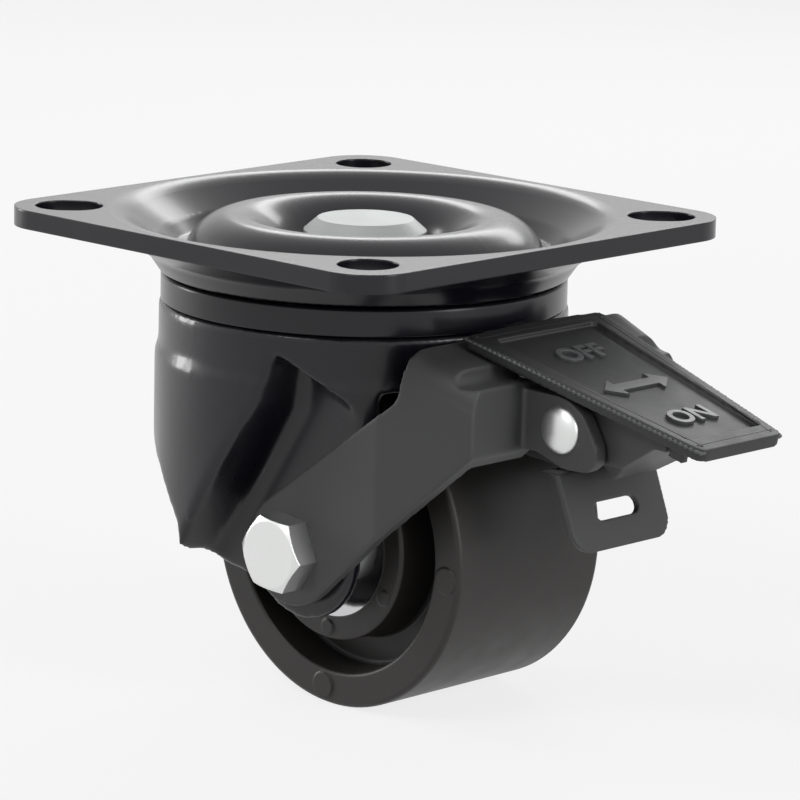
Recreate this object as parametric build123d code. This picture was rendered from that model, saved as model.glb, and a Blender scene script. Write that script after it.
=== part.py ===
from build123d import *
import os
from math import cos, radians, sin, sqrt, tan

os.makedirs("parts", exist_ok=True)

# Braked swivel plate castor.  Millimetres.  The origin is where the swivel axis meets the
# top face of the mounting plate.  +Z is up, and +X is the side that the wheel trails to,
# where the pedal is.  The bolt head is on the -Y side.

# ---- driving dimensions: mounting plate -------------------------------------------------
plate_side = 98.0
plate_thickness = 3.5
plate_corner = 9.5
hole_pitch = 78.0
hole_diameter = 11.0
hole_stretch = 1.7          # extra length of the two slotted holes, along their diagonal
pressing_radius = 46.8      # where the flat sheet starts to roll down into the pressing
channel_radius = 38.3       # outside of the pressed channel
channel_depth = 7.4         # top face of the channel floor, below the plate top
bead_radius = 24.7          # crest circle of the raised bead, which is also the upper ball pitch
bead_section = 9.3          # section radius of the bead's top face
bead_drop = 0.6             # bead crest below the plate top
dish_depth = 6.0            # floor of the middle dish below the plate top

# ---- driving dimensions: swivel head ----------------------------------------------------
pin_radius = 6.0
pin_head_radius = 11.5
pin_head_flat = 9.0
pin_head_drop = 1.3         # top of the pin's head below the plate top
upper_ball_radius = 4.0
upper_ball_count = 16
lower_ball_radius = 2.4
lower_ball_count = 12
lower_ball_pitch = 12.4
ball_gap = 0.05             # between a ball and each of its races
crown_thickness = 3.2
crown_radius = 38.3
shoulder_drop = 16.4        # crown shoulder below the plate top
ring_band = 1.6
ring_radius = 38.0
ring_gap = 0.5              # between the dust ring and the plate
pin_clearance = 2.8         # between the pin and the crown's bore
track_lip = 1.4             # sheet beyond the upper balls, out to the wall of the crown

# ---- driving dimensions: fork -----------------------------------------------------------
trail = 12.4
axle_drop = 57.7            # axle centre below the plate top
fork_wall = 3.0
shell_radius = 39.0
skirt_drop = 26.0           # lower edge of the crown's skirt
leg_half = 28.0             # outer face of each leg, from the middle plane
leg_end_radius = 13.3
axle_radius = 4.0           # M8
bolt_clearance = 0.1        # round the bolt in the legs, the bracket and the sleeve
hex_half = 6.5              # half across the flats of the M8 head and nut
hex_face_radius = 6.2       # round face inside the chamfered corners
bolt_head_height = 5.3
nut_height = 6.5
bolt_tail = 1.4             # bolt end that shows past the nut
washer_radius = 8.0
washer_thickness = 1.6

# ---- driving dimensions: wheel ----------------------------------------------------------
wheel_radius = 31.5
wheel_width = 38.0
rim_inner_radius = 25.1
hub_radius = 18.5
hub_width = 41.0
web_width = 22.0
bearing_outer = 14.0        # 28 x 12 x 8 deep-groove bearing
bearing_bore = 6.0
bearing_width = 8.0
bearing_ball_radius = 2.38
bearing_ball_count = 7
bearing_pitch = 10.0

# ---- driving dimensions: brake ----------------------------------------------------------
bracket_sheet = 3.0
strap_half = 10.4           # half the width of each bracket arm
arm_knee_x = 34.0           # where the arms start to draw in
roof_back = (39.8, -16.4)   # rear and front of the roof's top face, as (x, z)
roof_front = (50.3, -19.7)
roof_bend = 5.0             # outside radius between the roof and an arm
panel_x = 53.9              # outer face of the cross panel
panel_low_z = -34.2
notch_end_x = 48.9          # round end of the slot between the roof and the panel
notch_top_z = -18.2
notch_low_z = -22.0
panel_half = 27.4           # half the bracket's width at the cross panel
ear_half = 14.0             # outer face of each ear, from the middle plane
pivot_x = 62.9
pivot_drop = 29.2
pedal_pin_radius = 2.5
pedal_length = 51.9
pedal_slope = 15.1          # degrees below level at rest
pedal_inner_half = 18.0
pedal_outer_half = 10.9
pedal_inner_x = 43.0
pedal_inner_drop = 14.8
cover_height = 2.3
cover_recess = 0.8
lever_half = 10.4
lever_sheet = 2.0
lever_nose_z = -38.4
leaf_sheet = 1.5
leaf_half = 12.8
leaf_gap = 0.9              # between the brake leaf and the tread at rest
running_gap = 0.05

# ---- places worked out from the driving dimensions ----------------------------------------
bead_under_radius = bead_section - plate_thickness + 0.1
bead_centre_z = -bead_drop - bead_section
under_crest_z = bead_centre_z + bead_under_radius
channel_under_z = -channel_depth - plate_thickness
upper_ball_z = under_crest_z - ball_gap - upper_ball_radius
crown_groove_z = upper_ball_z - upper_ball_radius - ball_gap
crown_top_z = crown_groove_z + 0.2
crown_under_z = crown_groove_z - crown_thickness
lower_race_z = crown_under_z - 0.65
lower_ball_z = lower_race_z - ball_gap - lower_ball_radius
cup_groove_z = lower_ball_z - lower_ball_radius - ball_gap
cup_bottom_z = cup_groove_z - 2.0
axle_z = -axle_drop
hub_face = hub_width / 2
leg_inner = leg_half - fork_wall
arm_half = leg_half + bracket_sheet       # outer face of the bracket arms
pivot_z = -pivot_drop
crown_bore = pin_radius + pin_clearance
track_outer = bead_radius + upper_ball_radius + track_lip
shoulder_z = -shoulder_drop
ceiling_z = shoulder_z - crown_thickness
skirt_z = -skirt_drop
nut_seat = arm_half + washer_thickness
all_through = 4 * plate_side              # longer than any piece, for cuts that go right through


axle_place = Pos(trail, 0, axle_z) * Rot(90, 0, 0)      # local +Z points to the bolt-head side
pivot_place = Pos(pivot_x, 0, pivot_z) * Rot(90, 0, 0)


def save(shape, node):
    export_step(shape, "parts/" + node + ".step")


def turned(profile_points, about=Axis.Z):
    """A solid of revolution from (radius, height) corners."""
    outline = Polyline(*[(r, 0, z) for r, z in profile_points], close=True)
    return revolve(make_face(outline), about)


def side_plate(outline, half_inner, half_outer):
    """A side-view outline in the XZ plane, made solid between two distances from y = 0."""
    face = make_face(outline)
    return extrude(Pos(0, -half_inner, 0) * face, half_outer - half_inner, dir=(0, -1, 0))


def both_sides(shape):
    return shape + mirror(shape, Plane.XZ)


def xz(points):
    return [(x, 0, z) for x, z in points]


def ring_of_balls(radius, pitch, count, z):
    spots = [Rot(0, 0, 360 * i / count) * Pos(pitch, 0, z) for i in range(count)]
    return Compound(children=[spot * Sphere(radius) for spot in spots])


# ---- mounting plate, king pin and lower race cup -------------------------------------------
def pressing_profile():
    """Section of the pressed middle of the plate, from the pin's bore out to the flat sheet."""
    edge = pressing_radius + 2.5
    knee = channel_radius + 2.3
    foot_z = -channel_depth
    foot_half = sqrt(bead_section ** 2 - (foot_z - bead_centre_z) ** 2)
    dish_half = sqrt(bead_section ** 2 - (-dish_depth - bead_centre_z) ** 2)
    top_roll = FilletPolyline(
        (edge, 0, 0),
        (pressing_radius - 1.0, 0, 0),
        (knee - 2.4, 0, -0.66 * channel_depth),
        (channel_radius - 2.2, 0, foot_z),
        (bead_radius + foot_half, 0, foot_z),
        radius=[8.0, 3.0, 0.6])
    bead_top = ThreePointArc((bead_radius + foot_half, 0, foot_z),
                             (bead_radius, 0, -bead_drop),
                             (bead_radius - dish_half, 0, -dish_depth))
    under_foot = bead_radius + bead_under_radius
    dish_under = -dish_depth - plate_thickness
    bead_under = ThreePointArc((bead_radius - bead_under_radius, 0, bead_centre_z),
                               (bead_radius, 0, under_crest_z),
                               (under_foot, 0, bead_centre_z))
    dish = Polyline((bead_radius - dish_half, 0, -dish_depth),
                    (pin_radius, 0, -dish_depth),
                    (pin_radius, 0, dish_under),
                    (bead_radius - bead_under_radius, 0, dish_under),
                    (bead_radius - bead_under_radius, 0, bead_centre_z))
    under_roll = FilletPolyline(
        (under_foot, 0, bead_centre_z),
        (under_foot, 0, channel_under_z),
        (channel_radius, 0, channel_under_z),
        (knee, 0, -plate_thickness - 0.55 * channel_depth),
        (pressing_radius, 0, -plate_thickness),
        (edge, 0, -plate_thickness),
        radius=[0.6, 0.8, 4.0, 7.0])
    rim = Line((edge, 0, -plate_thickness), (edge, 0, 0))
    return make_face([top_roll, bead_top, dish, bead_under, under_roll, rim])


def top_plate():
    sheet = extrude(RectangleRounded(plate_side, plate_side, plate_corner), -plate_thickness)
    inner = Cylinder(pressing_radius + 1.0, 3 * plate_thickness)
    plate = sheet - inner + (revolve(pressing_profile(), Axis.Z) & extrude(
        RectangleRounded(plate_side, plate_side, plate_corner), amount=20, both=True))
    half = hole_pitch / 2
    hole = Cylinder(hole_diameter / 2, 3 * plate_thickness)
    slot = extrude(SlotCenterToCenter(hole_stretch, hole_diameter), 2 * plate_thickness, both=True)
    for x, y in ((half, -half), (-half, half)):
        plate -= Pos(x, y, 0) * hole
    for x, y in ((half, half), (-half, -half)):
        plate -= Pos(x, y, 0) * Rot(0, 0, 45) * slot
    return plate


def king_pin():
    """Headed pin, riveted over under the lower cup."""
    head_under = -dish_depth
    peen_z = cup_bottom_z - 1.3
    return turned([
        (0, -pin_head_drop), (pin_head_flat, -pin_head_drop),
        (pin_head_radius, -pin_head_drop - 2.2), (pin_head_radius, head_under),
        (pin_radius, head_under), (pin_radius, cup_bottom_z),
        (pin_radius + 1.8, cup_bottom_z), (pin_radius + 1.2, peen_z), (0, peen_z)])


def lower_cup():
    """Dished race that hangs on the pin and carries the lower balls."""
    hub = pin_radius + 2.2
    lip = lower_ball_pitch + lower_ball_radius + 2.0
    cup = turned([
        (pin_radius, -dish_depth - plate_thickness), (hub, -dish_depth - plate_thickness),
        (hub, cup_groove_z + 0.5), (lip - 1.6, cup_groove_z + 0.5),
        (lip - 1.6, lower_ball_z), (lip, lower_ball_z), (lip, cup_groove_z),
        (lip - 2.0, cup_bottom_z), (pin_radius, cup_bottom_z)])
    groove = Pos(0, 0, lower_ball_z) * Torus(lower_ball_pitch, lower_ball_radius + ball_gap)
    return cup - groove


# ---- fork ------------------------------------------------------------------------------------
def crown_cap():
    """The fork's pressed head: raised ball track, shoulder and short skirt."""
    hem_z = skirt_z - 0.8
    skirt_inner = crown_radius - fork_wall
    wall = Polyline(*xz([
        (crown_bore, crown_top_z), (track_outer, crown_top_z), (track_outer, shoulder_z),
        (crown_radius, shoulder_z), (crown_radius, hem_z), (skirt_inner, hem_z),
        (skirt_inner, ceiling_z), (track_outer - crown_thickness, ceiling_z),
        (track_outer - crown_thickness, crown_under_z), (crown_bore, crown_under_z)]), close=True)
    cap = revolve(make_face(wall), Axis.Z)
    cap -= Pos(0, 0, upper_ball_z) * Torus(bead_radius, upper_ball_radius + ball_gap)
    boss_height = crown_under_z - lower_race_z
    boss = Cylinder(lower_ball_pitch + 2.6, boss_height) - Cylinder(crown_bore, all_through)
    cap += Pos(0, 0, lower_race_z + boss_height / 2) * boss
    cap -= Pos(0, 0, lower_ball_z) * Torus(lower_ball_pitch, lower_ball_radius + ball_gap)
    return cap


def fork_side():
    """Side view of the fork below its crown: the front apron and both legs."""
    low = axle_z - leg_end_radius
    reach = shell_radius + 5
    outline = FilletPolyline(*xz([
        (reach, skirt_z + 2), (-reach, skirt_z + 2), (-reach, -41.3), (-27.0, -43.2),
        (-18.9, -47.7), (-10.8, -55.8), (-9.2, -64.2), (1.5, low + 5.4), (trail, low + 5.0),
        (trail + leg_end_radius, axle_z + 1), (30.0, -32.0), (37.0, skirt_z)]),
        radius=[0, 0, 0, 6, 8, 5, 3, 0, 0, 0, 3, 0], close=True)
    end = axle_place * Cylinder(leg_end_radius, 2 * reach)
    return side_plate(outline, -reach, reach) + end


def pocket_outline(grow):
    """The sunk side panel that leaves room for the bracket arm; grow moves its edges outward."""
    outline = make_face(Polyline(*xz([
        (13.5, -23.0), (29.5, -31.0), (70.0, -45.0), (70.0, -90.0), (-26.4, -90.0), (12.0, -30.9)]),
        close=True))
    return offset(outline, grow, kind=Kind.INTERSECTION) if grow else outline


def pocket(base_half, grow):
    """One sunk panel: a tapered block whose sides lean outward."""
    lean = 3.6
    floor_round = 2.5
    deep = shell_radius + 4 - base_half
    block = loft([Pos(0, -base_half, 0) * pocket_outline(grow),
                  Pos(0, -base_half - deep, 0) * pocket_outline(grow + lean)], ruled=True)
    base_edges = block.faces().sort_by(Axis.Y)[-1].edges()
    return fillet(base_edges, floor_round)


def fork():
    top = skirt_z + 0.2
    deep = -2 * axle_z
    below = Pos(0, 0, top - deep / 2)
    outer = below * Cylinder(shell_radius, deep)
    inner = below * Cylinder(shell_radius - fork_wall, deep + 1)
    crown_room = Pos(0, 0, ceiling_z - 10) * Cylinder(crown_radius - fork_wall, 20)
    ceiling = Pos(0, 0, ceiling_z + 50) * Cylinder(shell_radius + 5, 100)
    outer_pocket = both_sides(pocket(leg_half, 0))
    inner_pocket = both_sides(pocket(leg_inner, fork_wall))
    lining = inner_pocket & Pos(0, 0, skirt_z + 2.5) * Cylinder(crown_radius, 10)
    shell = (outer & fork_side()) + crown_cap() + lining
    room = (inner + crown_room) - inner_pocket - ceiling
    wheel_window = Pos(30, 0, skirt_z - 0.4 - deep / 2) * Box(60, 2 * leg_inner, deep - 0.8)
    bolt_bore = axle_place * Cylinder(axle_radius + bolt_clearance, all_through)
    return shell - outer_pocket - room - wheel_window - bolt_bore


def dust_ring():
    """Thin band that hides the upper balls, seated on the crown's shoulder."""
    top = channel_under_z - ring_gap
    flange = shoulder_z + 1.4
    bore = track_outer + 0.1
    return turned([
        (ring_radius - ring_band, top), (ring_radius - 0.4, top), (ring_radius, top - 0.4),
        (ring_radius, shoulder_z), (bore, shoulder_z), (bore, flange),
        (ring_radius - ring_band, flange)])


# ---- wheel and axle ----------------------------------------------------------------------------
def wheel():
    half = wheel_width / 2
    web = web_width / 2
    seat = hub_face - bearing_width
    through = bearing_outer - 1.5
    quarter = [
        (through, 0), (through, seat), (bearing_outer, seat), (bearing_outer, hub_face),
        (hub_radius - 0.5, hub_face), (hub_radius, hub_face - 0.5), (hub_radius + 0.4, web + 0.6),
        (hub_radius + 1.0, web), (rim_inner_radius - 1.0, web), (rim_inner_radius - 0.4, web + 0.6),
        (rim_inner_radius, half - 0.4), (rim_inner_radius + 0.4, half),
        (wheel_radius - 0.8, half), (wheel_radius - 0.25, half - 0.25), (wheel_radius, half - 0.8)]
    body = turned(quarter + [(r, -a) for r, a in reversed(quarter) if a > 0])
    button = Cylinder(2.5, 0.6)
    for angle in (-95, -5, 85, 175):
        body += Rot(0, 0, angle) * Pos((rim_inner_radius + wheel_radius) / 2, 0, half) * button
    small = Cylinder(1.5, 0.6)
    for step in range(6):
        body += Rot(0, 0, 60 * step - 90) * Pos((bearing_outer + hub_radius) / 2, 0, hub_face) * small
    return axle_place * body


def race_cut(radius):
    return Torus(bearing_pitch, radius)


def bearing_outer_rings():
    half = bearing_width / 2
    inner = bearing_pitch + 1.7
    ring = turned([(inner, -half), (bearing_outer, -half), (bearing_outer, half), (inner, half)])
    return paired(ring - race_cut(bearing_ball_radius + running_gap))


def bearing_inner_rings():
    half = bearing_width / 2
    outer = bearing_pitch - 1.9
    ring = turned([(bearing_bore, -half), (outer, -half), (outer, half), (bearing_bore, half)])
    return paired(ring - race_cut(bearing_ball_radius + running_gap))


def paired(piece):
    """The same piece in both hub bearings."""
    middle = hub_face - bearing_width / 2
    return axle_place * Compound(children=[Pos(0, 0, middle) * piece, Pos(0, 0, -middle) * piece])


def bearing_shields():
    half = bearing_width / 2
    inner = bearing_pitch - 1.7
    outer = bearing_pitch + 1.7
    disc = turned([(inner, half - 0.6), (outer, half - 0.6), (outer, half - 0.2), (inner, half - 0.2)])
    return paired(Compound(children=[disc, mirror(disc, Plane.XY)]))


def bearing_balls():
    return paired(ring_of_balls(bearing_ball_radius, bearing_pitch, bearing_ball_count, 0))


def hexagon(height):
    """A 13 mm hexagon whose outer corners are chamfered at 30 degrees."""
    cone = Cone(hex_face_radius + height * sqrt(3), hex_face_radius, height,
                align=(Align.CENTER, Align.CENTER, Align.MIN))
    return extrude(RegularPolygon(hex_half, 6, major_radius=False), height) & cone


def axle_bolt():
    """Hexagon head, plain shank and the end that shows past the nut."""
    tail = nut_seat + nut_height + bolt_tail
    shank = Pos(0, 0, (arm_half - tail) / 2) * Cylinder(axle_radius, arm_half + tail)
    bolt = Pos(0, 0, arm_half) * Rot(0, 0, -6) * hexagon(bolt_head_height) + shank
    return axle_place * chamfer(bolt.faces().sort_by(Axis.Z)[0].edges(), 0.6)


def nut_washer():
    ring = Cylinder(washer_radius, washer_thickness) - Cylinder(
        axle_radius + 2 * bolt_clearance, all_through)
    return axle_place * Pos(0, 0, -arm_half - washer_thickness / 2) * ring


def axle_nut():
    nut = mirror(hexagon(nut_height), Plane.XY) - Cylinder(axle_radius, all_through)
    return axle_place * Pos(0, 0, -nut_seat) * Rot(0, 0, 12) * nut


def axle_sleeve():
    tube = Cylinder(bearing_bore, 2 * leg_inner)
    return axle_place * (tube - Cylinder(axle_radius + bolt_clearance, all_through))


def spacer_rings():
    long = leg_inner - hub_face
    ring = Cylinder(bearing_bore + 2.0, long) - Cylinder(bearing_bore, all_through)
    at = hub_face + long / 2
    return axle_place * Compound(children=[Pos(0, 0, at) * ring, Pos(0, 0, -at) * ring])


# ---- brake bracket -------------------------------------------------------------------------------
def plan_block(inset, front, back):
    """The bracket's plan view: straight arms that draw in toward the cross panel."""
    wide = arm_half - inset
    narrow = panel_half - inset
    return extrude(make_face(Polyline(
        (back, wide), (arm_knee_x, wide), (front, narrow), (front, -narrow),
        (arm_knee_x, -wide), (back, -wide), close=True)), all_through, both=True)


def roof_corner(side):
    """What the bend between the roof and one arm leaves outside its round corner."""
    taper = (arm_half - panel_half) / (panel_x - arm_knee_x)
    back_y, front_y = [side * (arm_half - (x - arm_knee_x) * taper) for x, z in (roof_back, roof_front)]
    start = Vector(roof_back[0], back_y, roof_back[1])
    end = Vector(roof_front[0], front_y, roof_front[1])
    along = (end - start).normalized()
    spot = Plane(origin=(start + end) * 0.5, x_dir=along.cross(Vector(0, 1, 0)), z_dir=along)
    spare = 2.0
    shift = (roof_bend - spare) / 2
    block = Pos(-shift, side * shift, 0) * Box(roof_bend + spare, roof_bend + spare, 30)
    return spot * (block - Pos(-roof_bend, side * roof_bend, 0) * Cylinder(roof_bend, 31))


def arm_outline():
    """Side view of one arm, from the axle up to the roof and out to the cross panel."""
    lean_x = 0.807
    lean_z = 0.590
    top_x = trail - strap_half * lean_z
    top_z = axle_z + strap_half * lean_x
    reach = 39.6
    neck = (top_x + reach * lean_x, top_z + reach * lean_z)
    heel = (trail + 0.674 * strap_half, axle_z - 0.739 * strap_half)
    return FilletPolyline(*xz([
        (top_x, top_z), neck, roof_back, roof_front, (panel_x, roof_front[1] - 1.1),
        (panel_x, panel_low_z), heel, (trail, axle_z)]),
        radius=[0, 6, 0, 3, 2, 2, 0, 0], close=True)


def bracket_room():
    """The hollow under the roof and between the arms."""
    back = -30
    inner_x = panel_x - bracket_sheet
    fall = (roof_back[1] - roof_front[1]) / (roof_front[0] - roof_back[0])
    drop = bracket_sheet * sqrt(1 + fall ** 2)
    side = Polyline(*xz([
        (back, roof_back[1] - drop + fall * (roof_back[0] - back)),
        (inner_x, roof_back[1] - drop - fall * (inner_x - roof_back[0])),
        (inner_x, 2 * axle_z), (back, 2 * axle_z)]), close=True)
    return side_plate(side, -plate_side, plate_side) & plan_block(bracket_sheet, inner_x, back)


def brake_bracket():
    solid = side_plate(arm_outline(), -arm_half, arm_half) + axle_place * Cylinder(
        strap_half, 2 * arm_half)
    solid = solid & plan_block(0, panel_x, -20)
    notch = FilletPolyline(*xz([
        (notch_end_x, notch_top_z), (panel_x + 9, notch_top_z + 0.6), (panel_x + 9, notch_low_z),
        (notch_end_x, notch_low_z)]), radius=[1.89, 0, 0, 1.89], close=True)
    window = Pos(panel_x, 0, -35) * Box(12, 2 * (ear_half - bracket_sheet), 34)
    solid = solid - roof_corner(1) - roof_corner(-1) - bracket_room() - window
    solid -= side_plate(notch, -plate_side, plate_side)
    ear = FilletPolyline(*xz([
        (panel_x - bracket_sheet, -23.2), (63.8, -23.2), (68.0, -25.8), (71.2, -31.0),
        (71.2, panel_low_z), (69.2, -36.0), (63.9, -36.4), (57.4, panel_low_z),
        (panel_x - bracket_sheet, panel_low_z)]),
        radius=[0, 4, 3, 2.5, 1.2, 2, 3, 2, 0], close=True)
    solid += both_sides(side_plate(ear, ear_half - bracket_sheet, ear_half))
    bolt_bore = axle_place * Cylinder(axle_radius + bolt_clearance, all_through)
    return solid - bolt_bore - pivot_place * Cylinder(pedal_pin_radius, all_through)


def pedal_pin():
    """Rivet with a low dome on each ear."""
    dome = scale(Sphere(4.3) & Pos(0, 0, 5) * Box(10, 10, 10), by=(1, 1, 0.47))
    dome = Pos(0, 0, ear_half) * dome
    pin = Cylinder(pedal_pin_radius, 2 * ear_half)
    return pivot_place * (pin + dome + mirror(dome, Plane.XY))


# ---- pedal ---------------------------------------------------------------------------------------
pedal_place = Pos(pedal_inner_x, 0, -pedal_inner_drop) * Rot(0, pedal_slope, 0)


def pedal_cover():
    """Moulded foot pad; local +X runs out along the pedal and local Z = 0 is its top face."""
    outline = FilletPolyline(
        (0, pedal_inner_half), (-0.8, 0), (0, -pedal_inner_half), (pedal_length, -pedal_outer_half),
        (pedal_length, pedal_outer_half), radius=[1.5, 30, 1.5, 2.0, 2.0], close=True)
    pad = extrude(make_face(outline), -cover_height)
    well = FilletPolyline(
        (3.2, 13.2), (3.2, -13.2), (47.6, -9.7), (47.6, 9.7), radius=1.0, close=True)
    pad -= extrude(make_face(well), -cover_recess)
    hook = Pos(46.4, 10.0, -cover_height - 0.8) * Box(3.2, 1.6, 2.2)
    return pedal_place * (pad + hook + mirror(hook, Plane.XZ))


def pedal_lever():
    """Folded channel under the pad, with a narrow nose that reaches down to the leaf."""
    slope = tan(radians(pedal_slope))
    seat_x = pedal_inner_x - cover_height * sin(radians(pedal_slope))
    seat_z = -pedal_inner_drop - cover_height * cos(radians(pedal_slope))
    near_x = 54.0
    far_x = 84.5

    def under_cover(x, gap=0.0):
        return seat_z - (x - seat_x) * slope - gap

    outline = FilletPolyline(*xz([
        (near_x, under_cover(near_x)), (far_x, under_cover(far_x)),
        (far_x, under_cover(far_x, lever_sheet)), (81.6, -30.0), (68.6, lever_nose_z),
        (64.2, lever_nose_z), (56.8, -30.0), (near_x, under_cover(near_x, 3.0))]),
        radius=[0, 0, 0.5, 3, 0.6, 0.6, 5, 0.5], close=True)
    back_x = near_x - 5
    room = FilletPolyline(*xz([
        (back_x, under_cover(back_x, lever_sheet)), (far_x - 4, under_cover(far_x - 4, lever_sheet)),
        (67.8, lever_nose_z + 2.4), (64.0, -50.0), (back_x, -50.0)]),
        radius=[0, 1.5, 2, 0, 0], close=True)
    lever = side_plate(outline, -lever_half, lever_half) - side_plate(
        room, lever_sheet - lever_half, lever_half - lever_sheet)
    for side in (1, -1):
        corner = Polyline((0, side * 4.0, -40), (0, side * 12, -40), (0, side * 12, -34.0),
                          (0, side * 9.2, -35.0), close=True)
        lever -= Pos(50, 0, 0) * extrude(make_face(corner), 30, dir=(1, 0, 0))
    return lever - pivot_place * Cylinder(pedal_pin_radius + running_gap, all_through)


# ---- brake leaf ----------------------------------------------------------------------------------
leaf_eye = (31.5, -23.5)
leaf_pin_radius = 1.5
leaf_pin_length = 21.0
eye_radius = 2.75
leaf_neck_half = 7.5
leaf_bend = (60.6, -37.3)
leaf_tip = (66.6, -53.0)
hanger_sheet = 1.0
lug_sheet = 1.5
lug_low_z = -26.0

eye_place = Pos(leaf_eye[0], 0, leaf_eye[1]) * Rot(90, 0, 0)


def on_arc(radius, angle):
    return (trail + radius * cos(radians(angle)), axle_z + radius * sin(radians(angle)))


def brake_leaf():
    """Hinged sheet: eye, shoe that follows the tread, narrow neck and the wide end tab."""
    mid = wheel_radius + leaf_gap + leaf_sheet / 2
    start, middle, end = [on_arc(mid, angle) for angle in (58, 50, 42)]
    shoe = ThreePointArc(*xz([start, middle, end]))
    neck = FilletPolyline(*xz([end, leaf_bend, leaf_tip]), radius=2.2)
    path = Wire([shoe] + list(neck.edges()))
    band = make_face(offset(path, leaf_sheet / 2, side=Side.BOTH))
    sheet = extrude(Pos(0, leaf_half, 0) * band, 2 * leaf_half, dir=(0, -1, 0))
    tab = Box(40, 2 * leaf_half, 14.0)
    tab = Pos(60, 0, -44.7) * fillet(tab.edges().filter_by(Axis.X).group_by(Axis.Z)[0], 4.0)
    blade = sheet & (Pos(40, 0, -30) * Box(60, 2 * leaf_neck_half, 30) + tab)
    eye = eye_place * Cylinder(eye_radius, 2 * leaf_neck_half)
    link = side_plate(Polyline(*xz([
        (leaf_eye[0] - 1.6, leaf_eye[1] - 1.2), (leaf_eye[0] + 0.4, leaf_eye[1] - 1.2),
        (start[0] + 1.1, start[1] - 0.1), (start[0] - 0.4, start[1] - 0.2)]), close=True),
        -leaf_neck_half, leaf_neck_half)
    slot = Pos(63.8, 0, -45.3) * Rot(0, 66, 0) * Rot(0, 0, 90) * extrude(
        SlotOverall(11.6, 3.4), 6, both=True)
    return blade + eye + link - slot - eye_place * Cylinder(
        leaf_pin_radius + running_gap, all_through)


def leaf_pin():
    return eye_place * Cylinder(leaf_pin_radius, leaf_pin_length)


def leaf_hanger():
    """U clip under the crown that carries the leaf's hinge pin."""
    width = 4.8
    drop = ceiling_z - lug_low_z
    base = Pos(30.9, 0, ceiling_z - hanger_sheet / 2) * Box(width, leaf_pin_length, hanger_sheet)
    lug = Pos(30.9, (leaf_pin_length - lug_sheet) / 2, lug_low_z + drop / 2) * Box(
        width, lug_sheet, drop)
    return base + lug + mirror(lug, Plane.XZ) - eye_place * Cylinder(leaf_pin_radius, all_through)


# ---- files -----------------------------------------------------------------------------------------
save(top_plate(), "top_plate")
save(king_pin(), "king_pin")
save(lower_cup(), "lower_cup")
save(ring_of_balls(upper_ball_radius, bead_radius, upper_ball_count, upper_ball_z), "upper_balls")
save(ring_of_balls(lower_ball_radius, lower_ball_pitch, lower_ball_count, lower_ball_z), "lower_balls")
save(fork(), "fork")
save(dust_ring(), "dust_ring")
save(leaf_hanger(), "leaf_hanger")
save(leaf_pin(), "leaf_pin")
save(brake_bracket(), "brake_bracket")
save(axle_bolt(), "axle_bolt")
save(axle_nut(), "axle_nut")
save(nut_washer(), "nut_washer")
save(axle_sleeve(), "axle_sleeve")
save(spacer_rings(), "spacer_rings")
save(bearing_inner_rings(), "bearing_inner_rings")
save(bearing_outer_rings(), "bearing_outer_rings")
save(bearing_shields(), "bearing_shields")
save(bearing_balls(), "bearing_balls")
save(wheel(), "wheel")
save(pedal_pin(), "pedal_pin")
save(pedal_lever(), "pedal_lever")
save(pedal_cover(), "pedal_cover")
save(brake_leaf(), "brake_leaf")
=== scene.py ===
import math

import bmesh
import bpy
from mathutils import Matrix, Vector


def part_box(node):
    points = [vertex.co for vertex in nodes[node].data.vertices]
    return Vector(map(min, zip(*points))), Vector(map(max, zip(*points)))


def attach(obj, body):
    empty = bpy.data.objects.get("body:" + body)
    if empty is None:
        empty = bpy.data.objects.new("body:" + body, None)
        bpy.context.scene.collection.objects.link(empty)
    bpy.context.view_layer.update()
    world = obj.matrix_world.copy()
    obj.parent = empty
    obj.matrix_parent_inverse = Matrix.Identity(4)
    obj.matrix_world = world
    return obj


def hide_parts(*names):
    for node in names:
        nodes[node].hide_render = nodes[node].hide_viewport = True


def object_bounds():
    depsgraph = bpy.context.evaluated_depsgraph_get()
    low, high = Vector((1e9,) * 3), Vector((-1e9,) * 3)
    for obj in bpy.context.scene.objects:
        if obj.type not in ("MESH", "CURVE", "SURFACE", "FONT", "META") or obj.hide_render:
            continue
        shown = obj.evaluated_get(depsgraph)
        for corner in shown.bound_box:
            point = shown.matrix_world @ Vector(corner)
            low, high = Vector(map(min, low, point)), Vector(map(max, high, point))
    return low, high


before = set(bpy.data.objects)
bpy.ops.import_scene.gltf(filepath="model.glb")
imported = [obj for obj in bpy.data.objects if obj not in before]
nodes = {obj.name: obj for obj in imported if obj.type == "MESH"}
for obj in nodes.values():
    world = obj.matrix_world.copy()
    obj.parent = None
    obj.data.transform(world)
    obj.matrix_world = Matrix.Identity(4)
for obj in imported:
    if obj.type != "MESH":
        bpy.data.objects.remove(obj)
cad_box = [[float(v) for v in corner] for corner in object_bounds()]


# ---- fork ----------------------------------------------------------------------------------
# The fork is one deep-drawn steel pressing: a round head, a front apron and two sunk side
# legs.  Its edges are soft from the press tool.  It is dipped in glossy black paint.

def softened_copy(node, name, voxel, passes):
    """The solid's own shape, remeshed evenly and eased so that its edges are rolled over."""
    mesh = nodes[node].data.copy()
    piece = bpy.data.objects.new(name, mesh)
    bpy.context.scene.collection.objects.link(piece)
    remesh = piece.modifiers.new("even faces", "REMESH")
    remesh.mode = "VOXEL"
    remesh.voxel_size = voxel
    ease = piece.modifiers.new("rolled edges", "SMOOTH")
    ease.factor = 0.5
    ease.iterations = passes
    worked = piece.evaluated_get(bpy.context.evaluated_depsgraph_get())
    shaped = bpy.data.meshes.new_from_object(worked)
    piece.modifiers.clear()
    piece.data = shaped
    for face in shaped.polygons:
        face.use_smooth = True
    return piece


def give(piece, material):
    piece.data.materials.clear()
    piece.data.materials.append(material)


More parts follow.
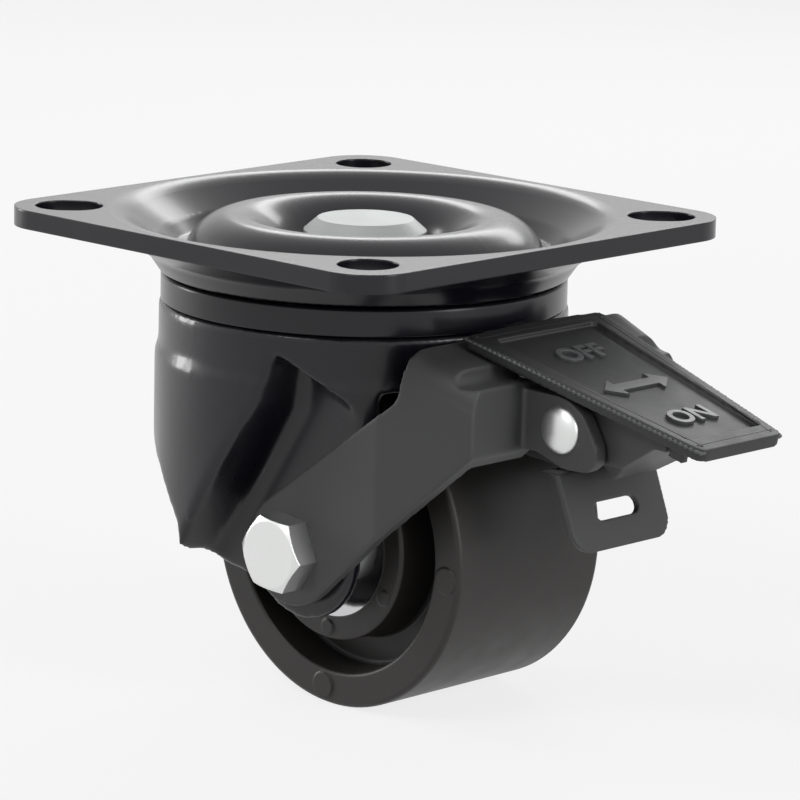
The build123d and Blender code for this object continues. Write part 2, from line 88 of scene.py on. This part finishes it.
def surface(name, base, roughness, metallic=0.0, coat=0.0, specular=0.5):
    """A new material with its shader, whose even values sit on the shader's own sockets."""
    material = bpy.data.materials.new(name)
    material.use_nodes = True
    shader = material.node_tree.nodes["Principled BSDF"]
    shader.inputs["Base Color"].default_value = (*base, 1)
    shader.inputs["Roughness"].default_value = roughness
    shader.inputs["Metallic"].default_value = metallic
    shader.inputs["Coat Weight"].default_value = coat
    shader.inputs["Coat Roughness"].default_value = 0.12
    shader.inputs["Specular IOR Level"].default_value = specular
    return material, shader


def grain(material, shader, scale, height, rough_low, rough_high, edge=0.0):
    """Fine relief and a mottled gloss over the whole surface, with eased edges where asked."""
    tree = material.node_tree
    place = tree.nodes.new("ShaderNodeTexCoord")
    fine = tree.nodes.new("ShaderNodeTexNoise")
    fine.inputs["Scale"].default_value = scale
    fine.inputs["Detail"].default_value = 4
    broad = tree.nodes.new("ShaderNodeTexNoise")
    broad.inputs["Scale"].default_value = scale / 14
    broad.inputs["Detail"].default_value = 3
    gloss = tree.nodes.new("ShaderNodeMapRange")
    gloss.inputs["To Min"].default_value = rough_low
    gloss.inputs["To Max"].default_value = rough_high
    relief = tree.nodes.new("ShaderNodeBump")
    relief.inputs["Strength"].default_value = 0.35
    relief.inputs["Distance"].default_value = height
    link = tree.links.new
    link(place.outputs["Object"], fine.inputs["Vector"])
    link(place.outputs["Object"], broad.inputs["Vector"])
    link(broad.outputs["Fac"], gloss.inputs["Value"])
    link(gloss.outputs["Result"], shader.inputs["Roughness"])
    link(fine.outputs["Fac"], relief.inputs["Height"])
    link(relief.outputs["Normal"], shader.inputs["Normal"])
    if edge:
        eased = tree.nodes.new("ShaderNodeBevel")
        eased.samples = 8
        eased.inputs["Radius"].default_value = edge
        link(eased.outputs["Normal"], relief.inputs["Normal"])


gloss_black, gloss_shader = surface("black dip paint", (0.006, 0.0055, 0.009), 0.3, coat=0.15,
                                    specular=0.35)
grain(gloss_black, gloss_shader, 900, 0.00002, 0.2, 0.34)
fork = softened_copy("fork", "fork_pressing", 0.00065, 14)
give(fork, gloss_black)
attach(fork, "swivel_frame")
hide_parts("fork")


# ---- mounting plate and dust ring ------------------------------------------------------------
# The plate is 3.5 mm steel, blanked square with four bolt holes and pressed in the middle
# with a channel, a round bead over the balls and a dish for the pin.  Same black dip paint.

plate_black, plate_shader = surface("black dip paint on the plate", (0.006, 0.0055, 0.009), 0.28,
                                    coat=0.12, specular=0.35)
grain(plate_black, plate_shader, 700, 0.00002, 0.2, 0.32, edge=0.0005)
give(nodes["top_plate"], plate_black)
give(nodes["dust_ring"], plate_black)


# ---- king pin, cup and swivel balls ------------------------------------------------------------
# The king pin is a zinc-plated rivet with a dished cone head, turned on a lathe.  The cup
# under it is zinc-plated too, and the balls are bright hardened steel.

zinc, zinc_shader = surface("zinc plate", (0.74, 0.75, 0.74), 0.34, metallic=1.0)
grain(zinc, zinc_shader, 1200, 0.00002, 0.28, 0.44, edge=0.0004)
# A darker copy of the zinc plate for the king pin and its cup. Its darker colour is painted shade, so the pin's
# lamp-lit top does not burn out white.
shaded_zinc_plate, shaded_zinc_shader = surface("zinc plate with painted shade", (0.33, 0.345, 0.34), 0.5, metallic=1.0)
grain(shaded_zinc_plate, shaded_zinc_shader, 1200, 0.00003, 0.44, 0.6, edge=0.0004)
bright, bright_shader = surface("polished race steel", (0.6, 0.6, 0.61), 0.12, metallic=1.0)
grain(bright, bright_shader, 1600, 0.000005, 0.08, 0.16)
for name in ("king_pin", "lower_cup"):
    give(nodes[name], shaded_zinc_plate)
for name in ("leaf_pin", "nut_washer", "axle_sleeve", "spacer_rings"):
    give(nodes[name], zinc)
for name in ("upper_balls", "lower_balls", "bearing_balls", "bearing_inner_rings",
             "bearing_outer_rings", "bearing_shields"):
    give(nodes[name], bright)


# ---- wheel ---------------------------------------------------------------------------------------
# The wheel is moulded in black nylon, with a wide plain tread, a sunk web and small round
# ejector marks.  The mould's fine spark finish leaves a warm sheen.

nylon, nylon_shader = surface("moulded black nylon", (0.019, 0.0165, 0.0155), 0.45, specular=0.4)
grain(nylon, nylon_shader, 2600, 0.00004, 0.36, 0.52, edge=0.0006)
give(nodes["wheel"], nylon)

axle = Vector((0.0124, 0, -0.0577))
line_half = 0.00008
line_sunk = 0.00001
line_root = 0.0003
line_root_half = 0.00025


def turned_ring(name, corners, centre, steps=160):
    """A closed ring turned about the axle's direction from (radius, distance along -Y) corners."""
    shape = bmesh.new()
    loops = []
    for step in range(steps):
        turn = 2 * math.pi * step / steps
        loops.append([shape.verts.new((centre.x + r * math.cos(turn), centre.y - a,
                                       centre.z + r * math.sin(turn))) for r, a in corners])
    for step in range(steps):
        here, after = loops[step], loops[(step + 1) % steps]
        for k in range(len(corners)):
            m = (k + 1) % len(corners)
            shape.faces.new((here[k], here[m], after[m], after[k]))
    bmesh.ops.recalc_face_normals(shape, faces=shape.faces)
    mesh = bpy.data.meshes.new(name)
    shape.to_mesh(mesh)
    shape.free()
    for face in mesh.polygons:
        face.use_smooth = True
    ring = bpy.data.objects.new(name, mesh)
    bpy.context.scene.collection.objects.link(ring)
    return ring


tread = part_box("wheel")[1][0] - axle.x
parting = turned_ring("tread_parting_line", [
    (tread - line_root, -line_root_half), (tread - line_sunk, -line_half),
    (tread - line_sunk, line_half), (tread - line_root, line_root_half)],
    axle + Vector((0, -0.0006, 0)))
give(parting, nylon)
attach(parting, "rolling_wheel")


# ---- axle bolt and nut ------------------------------------------------------------------------------
# The axle is a zinc-plated M8 bolt through both legs and both bracket arms, with a plain
# washer and nut on the far side.  The head's corners are chamfered on top.

for name in ("axle_bolt", "axle_nut", "pedal_pin"):
    give(nodes[name], zinc)


# ---- brake bracket -------------------------------------------------------------------------------------
# The bracket is a U of 3 mm steel sheet, blanked and folded, that hooks over the wheel.  Its
# arms are held by the axle bolt.  It has a dull, slightly rough black finish.

dull_black, dull_shader = surface("dull black finish", (0.054, 0.055, 0.0545), 0.5, specular=0.35)
grain(dull_black, dull_shader, 1500, 0.00005, 0.42, 0.58)
bracket = softened_copy("brake_bracket", "bracket_sheet", 0.0004, 3)
give(bracket, dull_black)
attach(bracket, "swivel_frame")
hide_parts("brake_bracket")


# ---- brake leaf, its hanger and the pedal's lever ----------------------------------------------------------
# The leaf is 1.5 mm spring steel with a wide slotted end tab.  The pedal's nose pushes it to
# the tread.  The lever is a folded steel channel that turns on the rivet.

leaf = softened_copy("brake_leaf", "leaf_sheet", 0.0003, 2)
give(leaf, dull_black)
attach(leaf, "brake_blade")
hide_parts("brake_leaf")
lever = softened_copy("pedal_lever", "lever_channel", 0.0004, 3)
give(lever, dull_black)
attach(lever, "brake_pedal")
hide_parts("pedal_lever")
give(nodes["leaf_hanger"], dull_black)


# ---- pedal pad ------------------------------------------------------------------------------------------------
# The pad is moulded in black plastic and snaps over the lever.  It has a raised border round a
# sunk face, and raised ON and OFF marks with a two-way arrow between them.

pad_plastic, pad_shader = surface("moulded black plastic", (0.02, 0.0205, 0.0215), 0.45,
                                  specular=0.45)
grain(pad_plastic, pad_shader, 3200, 0.00003, 0.4, 0.55)
pad = softened_copy("pedal_cover", "pedal_pad", 0.00025, 2)
give(pad, pad_plastic)
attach(pad, "brake_pedal")
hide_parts("pedal_cover")

pad_place = Matrix.Translation((0.043, 0, -0.0148)) @ Matrix.Rotation(math.radians(15.1), 4, "Y")
sunk = -0.0008


# A ribbed grip band runs round the pad just under its top edge, with a fine plain rim inside it.

def band_round_pad(name, inset, drop, radius, rib, ribs_per_mm):
    """A thin bead that follows the pad's outline, swelling at each rib."""
    corners = [(0.0, 18.0), (-0.42, 9.0), (-0.55, 0.0), (-0.42, -9.0), (0.0, -18.0),
               (51.69, -10.9), (51.69, 10.9)]
    middle = Vector((25.0, 0.0))
    path = []
    for k, corner in enumerate(corners):
        here = Vector(corner)
        after = Vector(corners[(k + 1) % len(corners)])
        count = max(2, round((after - here).length * ribs_per_mm * 4))
        path += [here.lerp(after, step / count) for step in range(count)]
    shape = bmesh.new()
    loops = []
    sides = 8
    for k, spot in enumerate(path):
        way = (path[(k + 1) % len(path)] - path[k - 1]).normalized()
        out = Vector((way.y, -way.x))
        if out.dot(spot - middle) < 0:
            out.negate()
        swell = radius + rib * (0.5 + 0.5 * math.cos(math.pi * k / 2))
        centre = spot - out * (inset + radius)
        loops.append([shape.verts.new((
            (centre.x + out.x * swell * math.cos(2 * math.pi * j / sides)) / 1000,
            (centre.y + out.y * swell * math.cos(2 * math.pi * j / sides)) / 1000,
            (-drop + swell * math.sin(2 * math.pi * j / sides)) / 1000)) for j in range(sides)])
    for k in range(len(loops)):
        here, after = loops[k], loops[(k + 1) % len(loops)]
        for j in range(sides):
            m = (j + 1) % sides
            shape.faces.new((here[j], here[m], after[m], after[j]))
    bmesh.ops.recalc_face_normals(shape, faces=shape.faces)
    mesh = bpy.data.meshes.new(name)
    shape.to_mesh(mesh)
    shape.free()
    for face in mesh.polygons:
        face.use_smooth = True
    bead = bpy.data.objects.new(name, mesh)
    bpy.context.scene.collection.objects.link(bead)
    bead.matrix_world = pad_place
    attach(bead, "brake_pedal")
    return bead


# A lighter plastic. On the ribbed grip band its light colour is a painted highlight along the ribs, and on the
# raised marks it shows wear.
rib_highlight_and_wear_plastic, rib_highlight_and_wear_shader = surface("worn plastic on the ribs", (0.075, 0.077, 0.079), 0.34,
                                    specular=0.6)
grain(rib_highlight_and_wear_plastic, rib_highlight_and_wear_shader, 3200, 0.00002, 0.28, 0.42)
give(band_round_pad("pad_grip_band", -0.05, 0.62, 0.34, 0.14, 0.9), rib_highlight_and_wear_plastic)
give(band_round_pad("pad_inner_rim", 1.75, 0.16, 0.22, 0.0, 0.25), pad_plastic)


def raised_word(word, out, size):
    """A raised word on the sunk face, read from the pedal's outer end."""
    text = bpy.data.curves.new("mark " + word, "FONT")
    text.body = word
    text.size = size
    text.extrude = 0.0003
    text.bevel_depth = 0.00009
    text.offset = 0.00012
    text.align_x = "CENTER"
    text.align_y = "CENTER"
    mark = bpy.data.objects.new("mark_" + word, text)
    bpy.context.scene.collection.objects.link(mark)
    mark.matrix_world = pad_place @ Matrix.Translation((out, 0, sunk + 0.0002)) @ Matrix.Rotation(
        math.radians(90), 4, "Z")
    give(mark, rib_highlight_and_wear_plastic)
    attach(mark, "brake_pedal")


raised_word("OFF", 0.0125, 0.0066)
raised_word("ON", 0.0395, 0.0066)
arrow = bmesh.new()
arrow_out = 0.026
shaft_half = 0.0048
shaft = [(-shaft_half, -0.0012), (shaft_half, -0.0012), (shaft_half, 0.0012), (-shaft_half, 0.0012)]
heads = [[(way * 0.0085, 0), (way * shaft_half, 0.0029), (way * shaft_half, -0.0029)]
         for way in (1, -1)]
for outline in [shaft] + heads:
    lowest = [arrow.verts.new((arrow_out + y, x, sunk - 0.0001)) for x, y in outline]
    highest = [arrow.verts.new((arrow_out + y, x, sunk + 0.0005)) for x, y in outline]
    arrow.faces.new(lowest)
    arrow.faces.new(list(reversed(highest)))
    for k in range(len(outline)):
        m = (k + 1) % len(outline)
        arrow.faces.new((lowest[k], highest[k], highest[m], lowest[m]))
bmesh.ops.recalc_face_normals(arrow, faces=arrow.faces)
arrow_mesh = bpy.data.meshes.new("mark_arrow")
arrow.to_mesh(arrow_mesh)
arrow.free()
arrow_piece = bpy.data.objects.new("mark_arrow", arrow_mesh)
bpy.context.scene.collection.objects.link(arrow_piece)
arrow_piece.matrix_world = pad_place
give(arrow_piece, rib_highlight_and_wear_plastic)
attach(arrow_piece, "brake_pedal")


# ---- floor, lamps and camera ----------------------------------------------------------------------------------
# A plain pale floor under the tread, a white room and four soft lamps.  The camera is a long
# lens, a little above the castor and on its pedal side.

floor_mesh = bpy.data.meshes.new("floor")
reach = 6.0
low = cad_box[0][2] - 0.00002
floor_mesh.from_pydata([(-reach, -reach, low), (reach, -reach, low), (reach, reach, low),
                        (-reach, reach, low)], [], [(0, 1, 2, 3)])
floor = bpy.data.objects.new("floor", floor_mesh)
bpy.context.scene.collection.objects.link(floor)
paper = bpy.data.materials.new("white paper")
paper.use_nodes = True
tree = paper.node_tree
matt = tree.nodes["Principled BSDF"]
matt.inputs["Base Color"].default_value = (0.82, 0.82, 0.82, 1)
matt.inputs["Roughness"].default_value = 0.9
glow = tree.nodes.new("ShaderNodeEmission")
glow.inputs["Strength"].default_value = 1.0


def seen_or_mirrored(tree):
    """1 for rays that show the backdrop, directly or in metal and glass, and 0 for lighting."""
    rays = tree.nodes.new("ShaderNodeLightPath")
    total = rays.outputs["Is Camera Ray"]
    for kind in ("Is Glossy Ray", "Is Transmission Ray"):
        either = tree.nodes.new("ShaderNodeMath")
        either.operation = "MAXIMUM"
        tree.links.new(total, either.inputs[0])
        tree.links.new(rays.outputs[kind], either.inputs[1])
        total = either.outputs[0]
    return total


share = tree.nodes.new("ShaderNodeMath")
share.operation = "MULTIPLY"
share.inputs[1].default_value = 0.8
blend = tree.nodes.new("ShaderNodeMixShader")
tree.links.new(seen_or_mirrored(tree), share.inputs[0])
tree.links.new(share.outputs[0], blend.inputs["Fac"])
tree.links.new(matt.outputs[0], blend.inputs[1])
tree.links.new(glow.outputs[0], blend.inputs[2])
tree.links.new(blend.outputs[0], tree.nodes["Material Output"].inputs["Surface"])
floor_mesh.materials.append(paper)

world = bpy.data.worlds.new("white room")
bpy.context.scene.world = world
world.use_nodes = True
sky = world.node_tree
back = sky.nodes["Background"]
back.inputs["Color"].default_value = (1, 1, 1, 1)
level = sky.nodes.new("ShaderNodeMapRange")
level.inputs["To Min"].default_value = 0.22
level.inputs["To Max"].default_value = 1.0
sky.links.new(seen_or_mirrored(sky), level.inputs["Value"])
sky.links.new(level.outputs["Result"], back.inputs["Strength"])


def soft_lamp(name, place, power, width, height):
    data = bpy.data.lights.new(name, "AREA")
    data.shape = "RECTANGLE"
    data.size = width
    data.size_y = height
    data.energy = power
    lamp = bpy.data.objects.new(name, data)
    bpy.context.scene.collection.objects.link(lamp)
    aim = Vector((0.01, 0, -0.04)) - Vector(place)
    lamp.location = place
    lamp.rotation_euler = aim.to_track_quat("-Z", "Y").to_euler()


soft_lamp("key", (0.1, -0.9, 0.9), 4.6, 0.45, 0.45)
soft_lamp("left", (-0.9, -0.3, 0.1), 5, 0.22, 0.7)
soft_lamp("right", (0.95, 0.1, 0.25), 3.5, 0.25, 0.6)
soft_lamp("behind", (-0.45, 0.8, 0.45), 2.6, 0.8, 0.22)

lens = bpy.data.cameras.new("camera")
lens.lens = 210.25
lens.sensor_width = 36
lens.clip_start = 0.01
camera = bpy.data.objects.new("camera", lens)
bpy.context.scene.collection.objects.link(camera)
camera.location = (0.60032, -0.61310, 0.14802)
look = Vector((0.005152, 0.004961, -0.035894)) - camera.location
camera.rotation_euler = (look.to_track_quat("-Z", "Y").to_matrix() @ Matrix.Rotation(
    math.radians(1.22), 3, "Z")).to_euler()
bpy.context.scene.camera = camera
bpy.context.scene.view_settings.view_transform = "Standard"

bpy.context.view_layer.update()
